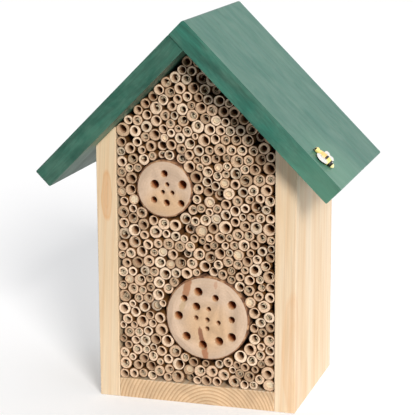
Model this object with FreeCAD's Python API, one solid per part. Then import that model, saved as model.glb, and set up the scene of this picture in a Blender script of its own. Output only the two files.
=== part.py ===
import FreeCAD, Part
import math
import os
import random

# Insect hotel: a gabled box of planed pine packed with hollow reeds round two drilled logs.
# Millimetres, +Z up.  The origin is the centre of the box's footprint, on the ground.
# The open front faces -Y, and the back panel closes the +Y side.

Vector = FreeCAD.Vector

# ---- driving dimensions: the box ----
body_width = 180.0         # over the two side walls
body_depth = 137.0         # front edges of the walls to the back face
wall_height = 228.0        # outer face of a side wall, ground to roof
wall_thickness = 18.5
base_thickness = 17.5
panel_thickness = 9.0
edge_radius = 0.7          # planed edges are eased by hand

# ---- driving dimensions: the roof ----
roof_pitch = math.radians(45.0)
roof_thickness = 18.0
eave_length = 45.8         # along the slope, past the outer face of a wall
front_overhang = 29.0
ridge_radius = 2.6
roof_edge_radius = 1.2

# ---- driving dimensions: the filling ----
filling_recess = 1.0       # log faces stand this far behind the front edges
small_log_place = (-27.9, 192.9)
small_log_radius = 26.0
large_log_place = (10.2, 79.2)
large_log_radius = 38.5
bark_thickness = 1.7
hole_depth_factor = 9.0    # a hole is this many diameters deep, as a long bit drills it

# Holes in a log face: (right of centre, above centre, diameter).
small_log_holes = (
    (-8.8, 3.7, 8.0), (16.4, 4.6, 8.0), (0.0, 13.5, 6.5),
    (-9.7, -10.2, 6.2), (1.8, -12.2, 6.2), (15.0, -12.1, 6.5),
    (2.5, 4.1, 4.2), (-1.6, -2.9, 4.2), (7.0, -3.0, 4.2),
)
large_log_holes = (
    (-8.0, 23.7, 8.0), (22.6, 13.9, 8.0), (-9.9, 10.1, 7.5), (-26.2, 0.7, 8.0),
    (-19.1, -17.7, 8.0), (22.3, -15.3, 8.0), (10.7, -19.9, 8.0), (-4.2, -24.5, 8.0),
    (7.6, 19.1, 6.2), (-21.0, 16.7, 6.2), (22.3, 0.5, 6.2),
    (1.4, 8.6, 4.5), (-10.1, -0.1, 4.5), (0.2, -1.2, 4.5), (10.2, -3.2, 4.5), (0.0, -9.3, 4.5),
)

# ---- driving dimensions: the reeds ----
reed_radius_mean = 4.68
reed_radius_spread = 0.62
reed_radius_range = (3.1, 6.3)
reed_pitch = 9.25          # spacing of the loose rows before they are packed tight
reed_clearance = 0.03
reed_bore_share = (0.55, 0.68)   # bore radius over outer radius
reed_bore_limit = 2.8      # largest bore radius
reed_row_height = 9.1
packing_rounds = 800
packing_start = 0.8        # share of its full radius at which a reed starts

# ---- driving dimensions: fixings ----
brad_radius = 0.6
brad_head_radius = 1.0
brad_head_height = 0.8
brad_length = 32.0
brad_cover = 1.5           # a brad is set this deep and its hole filled over
plate_width = 44.0
plate_height = 20.0
plate_thickness = 1.5
plate_centre_z = 268.0
keyhole_z = 265.0
keyhole_radius = 4.5
keyhole_slot_radius = 2.3
keyhole_rise = 6.0
keyhole_pocket_depth = 6.5
keyhole_pocket_room = 1.0  # round the screw head
plate_screw_spacing = 32.0
plate_screw_radius = 1.5
plate_screw_head_radius = 3.0
plate_screw_length = 7.0

# ---- driving dimensions: the bee on the roof ----
bee_slope = 143.8          # down the slope from the ridge line of the underside
bee_y = -78.5
bee_length = 20.0
bee_width = 8.2
bee_height = 5.6
bee_head_radius = 2.6
wing_thickness = 0.8

# ---- worked out from the driving dimensions ----
slope_x = math.cos(roof_pitch)
slope_z = math.sin(roof_pitch)
half_width = body_width / 2
inner_half_width = half_width - wall_thickness
front_y = -body_depth / 2
back_y = body_depth / 2
panel_front_y = back_y - panel_thickness
apex_z = wall_height + half_width * math.tan(roof_pitch)
wall_inner_height = wall_height + wall_thickness * math.tan(roof_pitch)
roof_front_y = front_y - front_overhang
roof_length = half_width / slope_x + eave_length

os.makedirs("parts", exist_ok=True)


def save(name, *solids):
    """Write one sub-part, of one or more closed solids."""
    for solid in solids:
        if not solid.isValid() or solid.Volume <= 0:
            raise ValueError(name + " has a bad solid")
    shape = solids[0] if len(solids) == 1 else Part.makeCompound(list(solids))
    shape.exportStep("parts/" + name + ".step")


def prism(outline, y_start, y_end):
    """Extrude an outline of (x, z) points from y_start to y_end."""
    points = [Vector(x, y_start, z) for x, z in outline]
    face = Part.Face(Part.makePolygon(points + points[:1]))
    return face.extrude(Vector(0, y_end - y_start, 0))


def one_solid(shape):
    """The single solid that a cut leaves."""
    return shape.Solids[0]


def is_at(edge, x, z):
    """Whether an edge runs along Y through (x, z)."""
    near = [abs(v.X - x) < 0.01 and abs(v.Z - z) < 0.01 for v in edge.Vertexes]
    return all(near)


def eased(shape, radius):
    """Round every edge of a planed board."""
    return shape.makeFillet(radius, shape.Edges)


def cylinder(radius, length, start, direction):
    return Part.makeCylinder(radius, length, start, direction)


# ---- fixings: brads set below the surface ----
def brad(surface_point, direction, cover=brad_cover, length=brad_length):
    """A headed brad driven from a point on the surface along a direction."""
    start = surface_point + direction * cover
    head = cylinder(brad_head_radius, brad_head_height, start, direction)
    shank = cylinder(brad_radius, length, start, direction)
    return one_solid(head.fuse(shank).removeSplitter())


def roof_brads():
    """Three brads a side, square to the roof, into the bevelled wall tops."""
    brads = []
    for side in (-1, 1):
        direction = Vector(-side * slope_z, 0, -slope_x)
        foot = Vector(side * (half_width - 4.0), 0, wall_height + 4.0)
        for y in (-52.0, 0.0, 52.0):
            surface = foot - direction * roof_thickness + Vector(0, y, 0)
            brads.append(brad(surface, direction))
    return brads


def ridge_brads():
    """Brads through the capping right board into the end grain of the left one."""
    direction = Vector(-slope_z, 0, -slope_x)
    middle = Vector(-slope_x, 0, slope_z) * (roof_thickness / 2)
    joint = Vector(0, 0, apex_z) + middle
    brads = []
    for y in (-75.0, -35.0, 5.0, 45.0):
        brads.append(brad(joint - direction * roof_thickness + Vector(0, y, 0), direction))
    return brads


def base_brads():
    """Three brads a side through the walls into the ends of the base board."""
    brads = []
    for side in (-1, 1):
        for y in (-50.0, -5.0, 40.0):
            surface = Vector(side * half_width, y, base_thickness / 2)
            brads.append(brad(surface, Vector(-side, 0, 0)))
    return brads


def panel_side_brads():
    """Hidden brads through the walls into the edges of the back panel."""
    brads = []
    for side in (-1, 1):
        for z in (55.0, 130.0, 205.0):
            surface = Vector(side * half_width, back_y - panel_thickness / 2, z)
            brads.append(brad(surface, Vector(-side, 0, 0)))
    return brads


def panel_face_brads():
    """Brads through the panel's back face into the base, their heads flush."""
    inward = Vector(0, -1, 0)
    places = [(x, base_thickness / 2) for x in (-58.0, 0.0, 58.0)]
    return [brad(Vector(x, back_y, z), inward, 0.0, 25.0) for x, z in places]


# ---- the box ----
def side_wall(side):
    """A wall board whose top is bevelled to the roof's pitch."""
    outline = (
        (side * half_width, 0.0),
        (side * inner_half_width, 0.0),
        (side * inner_half_width, wall_inner_height),
        (side * half_width, wall_height),
    )
    return eased(prism(outline, front_y, back_y), edge_radius)


def base_board():
    outline = (
        (-inner_half_width, 0.0),
        (inner_half_width, 0.0),
        (inner_half_width, base_thickness),
        (-inner_half_width, base_thickness),
    )
    return eased(prism(outline, front_y, panel_front_y), edge_radius)


def back_panel():
    """The gable-shaped panel that closes the back, pocketed for the hanger."""
    outline = (
        (-inner_half_width, 0.0),
        (inner_half_width, 0.0),
        (inner_half_width, wall_inner_height),
        (0.0, apex_z),
        (-inner_half_width, wall_inner_height),
    )
    panel = eased(prism(outline, panel_front_y, back_y), edge_radius / 2)
    return panel.cut(plate_blank()).cut(keyhole_pocket())


# ---- the roof ----
def roof_board_left():
    apex = (0.0, apex_z)
    eave = (-roof_length * slope_x, apex_z - roof_length * slope_z)
    rise = (-roof_thickness * slope_z, roof_thickness * slope_x)
    outline = (
        apex,
        eave,
        (eave[0] + rise[0], eave[1] + rise[1]),
        (apex[0] + rise[0], apex[1] + rise[1]),
    )
    return eased(prism(outline, roof_front_y, back_y), roof_edge_radius)


def roof_board_right():
    """The board that runs on over the left one's end, so its corner is the ridge."""
    rise = (roof_thickness * slope_z, roof_thickness * slope_x)
    top = (-roof_thickness * slope_x, apex_z + roof_thickness * slope_z)
    eave = (roof_length * slope_x, apex_z - roof_length * slope_z)
    ridge = (top[0] + rise[0], top[1] + rise[1])
    outline = (top, eave, (eave[0] + rise[0], eave[1] + rise[1]), ridge)
    board = prism(outline, roof_front_y, back_y)
    ridge_edges = [edge for edge in board.Edges if is_at(edge, *ridge)]
    board = board.makeFillet(ridge_radius, ridge_edges)
    lower_edges = [edge for edge in board.Edges if edge.CenterOfMass.z < apex_z - 60.0]
    return board.makeFillet(roof_edge_radius, lower_edges)


# ---- the hanger ----
def plate_blank():
    corner = Vector(-plate_width / 2, back_y - plate_thickness, plate_centre_z - plate_height / 2)
    blank = Part.makeBox(plate_width, plate_thickness, plate_height, corner)
    upright = [edge for edge in blank.Edges if abs(edge.tangentAt(0).y) > 0.9]
    return blank.makeFillet(3.0, upright)


def keyhole_pocket():
    """Room behind the plate for the head of the wall screw."""
    half_room = keyhole_radius + keyhole_pocket_room
    corner = Vector(-half_room, back_y - keyhole_pocket_depth, keyhole_z - half_room)
    return Part.makeBox(2 * half_room, keyhole_pocket_depth, 2 * half_room + keyhole_rise, corner)


def hanger_plate():
    """A keyhole plate let in flush: a round hole for the screw head, a slot above it."""
    inward = Vector(0, -1, 0)
    plate = plate_blank()
    low = Vector(0, back_y + 1.0, keyhole_z)
    high = Vector(0, back_y + 1.0, keyhole_z + keyhole_rise)
    plate = plate.cut(cylinder(keyhole_radius, plate_thickness + 2.0, low, inward))
    plate = plate.cut(cylinder(keyhole_slot_radius, plate_thickness + 2.0, high, inward))
    corner = Vector(-keyhole_slot_radius, back_y - plate_thickness - 1.0, keyhole_z)
    plate = plate.cut(Part.makeBox(2 * keyhole_slot_radius, plate_thickness + 2.0, keyhole_rise, corner))
    for screw in screw_bodies():
        plate = plate.cut(screw)
    return one_solid(plate)


def screw_bodies():
    """Countersunk screw shapes, before the drive is cut."""
    bodies = []
    for side in (-1, 1):
        face = Vector(side * plate_screw_spacing / 2, back_y, plate_centre_z)
        inward = Vector(0, -1, 0)
        head_depth = plate_screw_head_radius - plate_screw_radius
        head = Part.makeCone(plate_screw_head_radius, plate_screw_radius, head_depth, face, inward)
        shank = cylinder(plate_screw_radius, plate_screw_length - 2.0, face, inward)
        point_start = face + inward * (plate_screw_length - 2.0)
        point = Part.makeCone(plate_screw_radius, 0.4, 2.0, point_start, inward)
        bodies.append(one_solid(head.fuse([shank, point])))
    return bodies


def hanger_screws():
    """Each screw with its cross drive."""
    screws = []
    for body in screw_bodies():
        centre = Vector(body.CenterOfMass.x, back_y, plate_centre_z)
        for turn in (0.0, 90.0):
            corner = centre + Vector(-1.7, -0.9, -0.35)
            wing = Part.makeBox(3.4, 2.0, 0.7, corner)
            wing.rotate(centre, Vector(0, 1, 0), turn + 20.0)
            body = body.cut(wing)
        screws.append(one_solid(body))
    return screws


# ---- the logs ----
def log_wood(place, radius, holes):
    """A length of branch with blind holes drilled in its front end."""
    x, z = place
    face_y = front_y + filling_recess
    length = panel_front_y - face_y
    into = Vector(0, 1, 0)
    wood = cylinder(radius - bark_thickness, length, Vector(x, face_y, z), into)
    for right, up, diameter in holes:
        mouth = Vector(x + right, face_y - 1.0, z + up)
        depth = diameter * hole_depth_factor
        wood = wood.cut(cylinder(diameter / 2, depth + 1.0, mouth, into))
    return one_solid(wood)


def log_bark(place, radius):
    """The thin ring of bark left on the branch."""
    x, z = place
    face_y = front_y + filling_recess
    length = panel_front_y - face_y
    into = Vector(0, 1, 0)
    outer = cylinder(radius, length, Vector(x, face_y, z), into)
    inner = cylinder(radius - bark_thickness, length, Vector(x, face_y, z), into)
    return one_solid(outer.cut(inner))


# ---- the reeds: a packed bundle that fills the box round the logs ----
class Reed:
    def __init__(self, x, z, radius):
        self.x = x
        self.z = z
        self.radius = radius


def room_to_walls(reed):
    """Signed room between a reed's axis and each flat wall, with the way to move away."""
    roof_gap = (apex_z - reed.z) * slope_x
    return (
        (reed.x + inner_half_width, 1.0, 0.0),
        (inner_half_width - reed.x, -1.0, 0.0),
        (reed.z - base_thickness, 0.0, 1.0),
        (roof_gap + reed.x * slope_z, slope_z, -slope_x),
        (roof_gap - reed.x * slope_z, -slope_z, -slope_x),
    )


def logs():
    return (
        (small_log_place[0], small_log_place[1], small_log_radius),
        (large_log_place[0], large_log_place[1], large_log_radius),
    )


def loose_reeds(chance):
    """Reeds of mixed thickness in staggered rows, before they are packed."""
    reeds = []
    row = 0
    z = base_thickness + reed_pitch / 2
    while z < apex_z:
        x = -inner_half_width + reed_pitch / 2 + (row % 2) * reed_pitch / 2
        while x < inner_half_width:
            radius = chance.gauss(reed_radius_mean, reed_radius_spread)
            radius = min(max(radius, reed_radius_range[0]), reed_radius_range[1])
            reed = Reed(x + chance.uniform(-1.2, 1.2), z + chance.uniform(-1.2, 1.2), radius)
            in_box = all(room > 0.75 * radius for room, dx, dz in room_to_walls(reed))
            off_logs = all(math.hypot(reed.x - lx, reed.z - lz) > lr + 0.6 * radius for lx, lz, lr in logs())
            if in_box and off_logs:
                reeds.append(reed)
            x += reed_pitch
        z += reed_pitch * math.sqrt(3) / 2
        row += 1
    return reeds


def near_pairs(reeds):
    """Pairs of reeds close enough to touch."""
    cell = 2 * reed_radius_range[1] + 0.5
    grid = {}
    for index, reed in enumerate(reeds):
        key = (int(reed.x // cell), int(reed.z // cell))
        grid.setdefault(key, []).append(index)
    pairs = []
    for (cx, cz), members in grid.items():
        around = [(cx + dx, cz + dz) for dx in (-1, 0, 1) for dz in (-1, 0, 1)]
        for first in members:
            for key in around:
                pairs += [(first, second) for second in grid.get(key, ()) if first < second]
    return pairs


def pack_tight(reeds):
    """Let the reeds swell to their full size while they push each other apart."""
    full = [reed.radius for reed in reeds]
    for step in range(packing_rounds):
        swelling = min(1.0, packing_start + (1.0 - packing_start) * 2 * step / packing_rounds)
        for reed, radius in zip(reeds, full):
            reed.radius = radius * swelling
        if step % 5 == 0:
            pairs = near_pairs(reeds)
        for first, second in pairs:
            push_apart(reeds[first], reeds[second])
        for reed in reeds:
            keep_inside(reed)


def push_apart(a, b):
    """Move two overlapping reeds until they only touch."""
    dx = b.x - a.x
    dz = b.z - a.z
    gap = math.hypot(dx, dz)
    overlap = a.radius + b.radius - gap
    if overlap > 0 and gap > 0:
        push = 0.5 * overlap / gap
        a.x -= dx * push
        a.z -= dz * push
        b.x += dx * push
        b.z += dz * push


def keep_inside(reed):
    """Move a reed clear of the logs and the walls."""
    for lx, lz, lr in logs():
        dx = reed.x - lx
        dz = reed.z - lz
        gap = math.hypot(dx, dz)
        short = lr + reed.radius - gap
        if short > 0:
            reed.x += dx / gap * short
            reed.z += dz / gap * short
    for room, dx, dz in room_to_walls(reed):
        short = reed.radius - room
        if short > 0:
            reed.x += dx * short
            reed.z += dz * short


def trim(reeds):
    """Take off what still overlaps, so that no two reeds share any room."""
    for first, second in near_pairs(reeds):
        a = reeds[first]
        b = reeds[second]
        gap = math.hypot(b.x - a.x, b.z - a.z) - reed_clearance
        over = a.radius + b.radius - gap
        if over > 0:
            share = a.radius / (a.radius + b.radius)
            a.radius -= over * share
            b.radius -= over * (1.0 - share)
    for reed in reeds:
        for room, dx, dz in room_to_walls(reed):
            reed.radius = min(reed.radius, room - reed_clearance)
        for lx, lz, lr in logs():
            room = math.hypot(reed.x - lx, reed.z - lz) - lr
            reed.radius = min(reed.radius, room - reed_clearance)


def fill_out(reeds):
    """Let each reed take up the slack round it, by an eighth at most."""
    for reed in reeds:
        room = min(room for room, dx, dz in room_to_walls(reed))
        for lx, lz, lr in logs():
            room = min(room, math.hypot(reed.x - lx, reed.z - lz) - lr)
        for other in reeds:
            if other is not reed:
                room = min(room, math.hypot(reed.x - other.x, reed.z - other.z) - other.radius)
        wider = min(room - reed_clearance, reed.radius * 1.125, reed_radius_range[1])
        reed.radius = max(reed.radius, wider)


def packed_reeds(chance):
    reeds = loose_reeds(chance)
    pack_tight(reeds)
    trim(reeds)
    fill_out(reeds)
    return reeds


def oval_face(x, y, z, long_radius, short_radius, turn):
    """A flat oval in an XZ plane."""
    centre = Vector(x, y, z)
    along = Vector(math.cos(turn), 0, math.sin(turn))
    across = Vector(-math.sin(turn), 0, math.cos(turn))
    oval = Part.Ellipse(centre + along * long_radius, centre + across * short_radius, centre)
    return Part.Face(Part.Wire(oval.toShape()))


def reed_solid(reed, chance):
    """A hollow reed, closed at its back end where it was cut behind a joint."""
    flatness = chance.choice((0.995, 0.99, 0.97, 0.94, 0.9, 0.85))
    turn = chance.uniform(0.0, math.pi)
    recess = chance.triangular(0.2, 3.2, 0.8)
    if chance.random() < 0.06:
        recess += chance.uniform(2.0, 7.0)
    start_y = front_y + recess
    length = panel_front_y - start_y
    outer = oval_face(reed.x, start_y, reed.z, reed.radius, reed.radius * flatness, turn)
    solid = outer.extrude(Vector(0, length, 0))
    bore = min(reed.radius * chance.uniform(*reed_bore_share), reed_bore_limit)
    shift = (reed.radius * flatness - bore) * 0.3
    way = chance.uniform(0.0, 2 * math.pi)
    bore_x = reed.x + shift * math.cos(way)
    bore_z = reed.z + shift * math.sin(way)
    depth = length - 5.0
    if chance.random() < 0.05:
        depth = chance.uniform(1.0, 3.0)
    bore_flatness = max(flatness - 0.04, 0.8)
    opening = oval_face(bore_x, start_y - 1.0, bore_z, bore, bore * bore_flatness, turn)
    return one_solid(solid.cut(opening.extrude(Vector(0, depth + 1.0, 0))))


def reed_rows():
    """The reeds grouped by height, lowest row first."""
    chance = random.Random(41)
    rows = {}
    for reed in packed_reeds(chance):
        row = int((reed.z - base_thickness) // reed_row_height)
        rows.setdefault(row, []).append(reed_solid(reed, chance))
    return [rows[key] for key in sorted(rows)]


# ---- the bee ----
def on_roof(shape):
    """Carry a shape from the bee's own frame, X down the slope and Z out, to the roof."""
    tilt = FreeCAD.Rotation(Vector(0, 1, 0), math.degrees(roof_pitch))
    foot = Vector(bee_slope * slope_x, bee_y, apex_z - bee_slope * slope_z)
    foot = foot + Vector(slope_z, 0, slope_x) * roof_thickness
    placed = shape.copy()
    placed.Placement = FreeCAD.Placement(foot, tilt).multiply(shape.Placement)
    return placed


def stretched_ball(length, width, height):
    """An ellipsoid about the origin."""
    ball = Part.makeSphere(1.0)
    matrix = FreeCAD.Matrix()
    matrix.scale(length / 2, width / 2, height / 2)
    return ball.transformGeometry(matrix)


def above_roof(shape):
    """The part of a shape that stands above the board."""
    room = Part.makeBox(60.0, 60.0, 30.0, Vector(-30.0, -30.0, 0.0))
    return one_solid(shape.common(room))


def bee_body_shape():
    body = stretched_ball(bee_length, bee_width, 2 * bee_height * 0.62)
    body.translate(Vector(0.6, 0, bee_height * 0.38))
    return above_roof(body)


def bee_head_shape():
    head = Part.makeSphere(bee_head_radius, Vector(-bee_length / 2 + 0.6, 0, 2.2))
    return above_roof(head).cut(bee_body_shape())


def bee_wing_shape(side, lean, reach, chord):
    """A rounded wing blade that leaves the body's shoulder and leans up."""
    outline = [
        Vector(-1.6, 0, 0),
        Vector(-chord * 0.42, reach * 0.55, 0),
        Vector(0.4, reach, 0),
        Vector(chord * 0.58, reach * 0.72, 0),
        Vector(2.2, 0, 0),
    ]
    curve = Part.BSplineCurve()
    curve.interpolate(outline)
    root = Part.LineSegment(outline[-1], outline[0])
    face = Part.Face(Part.Wire([curve.toShape(), root.toShape()]))
    wing = face.extrude(Vector(0, 0, wing_thickness))
    wing.rotate(Vector(0, 0, 0), Vector(1, 0, 0), lean)
    if side < 0:
        wing = wing.mirror(Vector(0, 0, 0), Vector(0, 1, 0))
    wing.translate(Vector(-0.8, side * 2.4, 3.3))
    return one_solid(wing.cut(bee_body_shape()))


def main():
    brads_roof = roof_brads()
    brads_ridge = ridge_brads()
    brads_base = base_brads()
    brads_side = panel_side_brads()
    brads_face = panel_face_brads()
    screws = screw_bodies()

    save("left_wall", one_solid(side_wall(-1).cut(brads_base + brads_side + brads_roof)))
    save("right_wall", one_solid(side_wall(1).cut(brads_base + brads_side + brads_roof)))
    save("base_board", one_solid(base_board().cut(brads_base + brads_face)))
    save("back_panel", one_solid(back_panel().cut(brads_side + brads_face + screws)))
    save("roof_board_left", one_solid(roof_board_left().cut(brads_roof + brads_ridge)))
    save("roof_board_right", one_solid(roof_board_right().cut(brads_roof + brads_ridge)))

    save("roof_brads", *brads_roof)
    save("ridge_brads", *brads_ridge)
    save("base_brads", *brads_base)
    save("panel_side_brads", *brads_side)
    save("panel_face_brads", *brads_face)
    save("hanger_plate", hanger_plate())
    save("hanger_screws", *hanger_screws())

    save("small_log", log_wood(small_log_place, small_log_radius, small_log_holes))
    save("small_log_bark", log_bark(small_log_place, small_log_radius))
    save("large_log", log_wood(large_log_place, large_log_radius, large_log_holes))
    save("large_log_bark", log_bark(large_log_place, large_log_radius))

    for number, row in enumerate(reed_rows(), 1):
        save("reeds_row_%02d" % number, *row)

    save("bee_body", on_roof(bee_body_shape()))
    save("bee_head", on_roof(one_solid(bee_head_shape())))
    save("bee_wing_front", on_roof(bee_wing_shape(-1, 8.0, 10.0, 10.0)))
    save("bee_wing_rear", on_roof(bee_wing_shape(1, 24.0, 11.0, 10.0)))


main()
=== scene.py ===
import math
import random

import bmesh
import bpy
from mathutils import Matrix, Vector, noise


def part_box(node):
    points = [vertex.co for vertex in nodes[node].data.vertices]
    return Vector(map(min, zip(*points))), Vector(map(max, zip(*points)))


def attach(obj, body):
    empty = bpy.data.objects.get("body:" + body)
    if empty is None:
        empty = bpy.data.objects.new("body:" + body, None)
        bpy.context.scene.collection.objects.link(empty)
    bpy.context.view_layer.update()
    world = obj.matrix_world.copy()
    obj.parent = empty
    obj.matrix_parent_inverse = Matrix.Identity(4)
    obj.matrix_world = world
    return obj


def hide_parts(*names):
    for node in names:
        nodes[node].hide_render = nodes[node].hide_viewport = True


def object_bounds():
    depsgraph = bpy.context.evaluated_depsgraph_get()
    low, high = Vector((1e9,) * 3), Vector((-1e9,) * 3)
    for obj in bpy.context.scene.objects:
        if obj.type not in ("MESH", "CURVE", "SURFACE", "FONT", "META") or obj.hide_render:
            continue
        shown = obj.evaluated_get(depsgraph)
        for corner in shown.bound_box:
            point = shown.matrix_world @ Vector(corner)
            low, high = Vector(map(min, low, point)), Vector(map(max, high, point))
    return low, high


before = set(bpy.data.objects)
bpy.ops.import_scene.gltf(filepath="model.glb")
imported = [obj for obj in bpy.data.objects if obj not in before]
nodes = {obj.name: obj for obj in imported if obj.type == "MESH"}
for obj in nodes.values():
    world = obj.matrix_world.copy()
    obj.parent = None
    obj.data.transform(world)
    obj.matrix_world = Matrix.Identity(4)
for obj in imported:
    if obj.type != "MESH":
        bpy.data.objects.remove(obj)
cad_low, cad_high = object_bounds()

# An insect hotel: a pine box with a green-stained roof, packed with reeds round two drilled logs.
# Metres, +Z up, the open front towards -Y.  Sizes below are in millimetres times MM.

MM = 0.001
TURN = 2 * math.pi
ROOT = "root"
centre = (cad_low + cad_high) / 2

REED_ROWS = sorted(name for name in nodes if name.startswith("reeds_row_"))
FRONT_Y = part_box("right_wall")[0].y
LOG_FRONT_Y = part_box("large_log")[0].y
REED_BACK_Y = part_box("back_panel")[0].y
BASE_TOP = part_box("base_board")[1].z
INNER_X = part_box("right_wall")[0].x
OUTER_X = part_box("right_wall")[1].x
APEX_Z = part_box("back_panel")[1].z + 0.1 * MM
SLOPE = math.sqrt(0.5)           # sine and cosine of the roof's 45 degree pitch


# ---------------------------------------------------------------- shader helpers
# a colour mix node: its two kinds, and its sockets for the share of the upper colour and for both colours
BLEND = {"data_type": "RGBA", "output": 2}
MULTIPLY = {"data_type": "RGBA", "blend_type": "MULTIPLY", "output": 2}
SHARE, UNDER, OVER = 0, 6, 7
Y, Z = 1, 2                      # outputs of a node that separates a vector
WHITE = (1.0, 1.0, 1.0, 1.0)
MARKS_AT_SCALE_ONE = 0.5         # a noise node's marks are about this wide, in metres, at scale 1
WAVE_RATE = 20                   # radians that a wave node turns in a metre at scale 1


def linear(code):
    """An sRGB hex colour as linear RGBA."""
    channels = [int(code[i:i + 2], 16) / 255 for i in (0, 2, 4)]
    return [c / 12.92 if c <= 0.04045 else ((c + 0.055) / 1.055) ** 2.4 for c in channels] + [1.0]


def add(tree, kind, inputs=None, stops=None, output=0, **settings):
    """Add one node: its settings, its sockets' values or links, and its ramp's stops.
    What comes back is one of its outputs."""
    node = tree.nodes.new(kind)
    for name, value in settings.items():
        setattr(node, name, value)
    for key, value in (inputs or {}).items():
        if isinstance(value, bpy.types.NodeSocket):
            tree.links.new(value, node.inputs[key])
        else:
            node.inputs[key].default_value = value
    if stops:
        ramp = node.color_ramp
        for place, value in stops[2:]:
            ramp.elements.new(place)
        for element, (place, value) in zip(ramp.elements, stops):
            element.position = place
            element.color = linear(value) if isinstance(value, str) else (value, value, value, 1.0)
    return node.outputs[output]


def material(name, roughness, **sockets):
    """A named material, its node tree, its shader and its object's own coordinates."""
    made = bpy.data.materials.new(name)
    made.use_nodes = True
    tree = made.node_tree
    shader = tree.nodes["Principled BSDF"]
    shader.inputs["Roughness"].default_value = roughness
    for key, value in sockets.items():
        shader.inputs[key.replace("_", " ")].default_value = value
    return made, tree, shader, add(tree, "ShaderNodeTexCoord", output="Object")


def surface(tree, shader, colour, height, relief):
    """Give a shader its colour, and relief from a height field that swings by so many metres."""
    tree.links.new(colour, shader.inputs["Base Color"])
    normal = add(tree, "ShaderNodeBump", {"Height": height, "Distance": relief, "Strength": 0.7})
    tree.links.new(normal, shader.inputs["Normal"])


def mottle(tree, place, width, low, high, stretch=(1.0, 1.0, 1.0), edges=(0.3, 0.7)):
    """Soft noise between two brightnesses, in marks about so many metres wide.
    A stretch below 1 draws the marks out along that axis."""
    fitted = add(tree, "ShaderNodeMapping", {"Vector": place, "Scale": stretch})
    marks = add(tree, "ShaderNodeTexNoise",
                {"Vector": fitted, "Scale": MARKS_AT_SCALE_ONE / width, "Detail": 3.0, "Roughness": 0.63})
    return add(tree, "ShaderNodeMapRange",
               {"Value": marks, "From Min": edges[0], "From Max": edges[1], "To Min": low, "To Max": high})


def wandering(tree, place, width, reach, along=1.0):
    """A place pushed about by soft noise, so that whatever is drawn there wavers."""
    fitted = add(tree, "ShaderNodeMapping", {"Vector": place, "Scale": (1.0, 1.0, along)})
    push = add(tree, "ShaderNodeTexNoise",
               {"Vector": fitted, "Scale": MARKS_AT_SCALE_ONE / width, "Detail": 2.0}, output="Color")
    centred = add(tree, "ShaderNodeVectorMath", {0: push, 1: (0.5, 0.5, 0.5)}, operation="SUBTRACT")
    return add(tree, "ShaderNodeVectorMath", {0: centred, 1: (reach, reach, reach), 2: place},
               operation="MULTIPLY_ADD")


def patch(tree, place, middle, half_sizes, turn=0.0):
    """How far out a point lies in an ellipsoid turned about Y: 0 in the middle, 1 on its skin."""
    local = add(tree, "ShaderNodeMapping",
                {"Vector": place, "Location": middle, "Rotation": (0, -math.radians(turn), 0),
                 "Scale": half_sizes}, vector_type="TEXTURE")
    return add(tree, "ShaderNodeVectorMath", {0: local}, output="Value", operation="LENGTH")


# ---------------------------------------------------------------- timber
def log_place(tree, place, pith, grain):
    """Coordinates in the tree that a board was sawn from: Z runs along the pith."""
    along = Vector(grain).normalized()
    side = along.orthogonal().normalized()
    turn = Matrix((side, along.cross(side), along))
    return add(tree, "ShaderNodeMapping",
               {"Vector": place, "Location": -(turn @ Vector(pith)), "Rotation": turn.to_euler()})


def rings(tree, place, spacing, wander):
    """Annual rings of a given spacing round the pith, wandering by a few millimetres."""
    moved = wandering(tree, place, 31 * MM, wander, 0.16)
    return add(tree, "ShaderNodeTexWave", {"Vector": moved, "Scale": TURN / (WAVE_RATE * spacing)},
               output="Fac", wave_type="RINGS", rings_direction="Z", wave_profile="SAW")


def facing(tree, way):
    """How squarely a face looks along a direction or against it, from 0 to 1."""
    normal = add(tree, "ShaderNodeNewGeometry", output="Normal")
    dot = add(tree, "ShaderNodeVectorMath", {0: normal, 1: Vector(way).normalized()}, output="Value",
              operation="DOT_PRODUCT")
    squared = add(tree, "ShaderNodeMath", {0: dot, 1: dot}, operation="MULTIPLY")
    return add(tree, "ShaderNodeMath", {0: squared, 1: squared}, operation="MULTIPLY")


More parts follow.
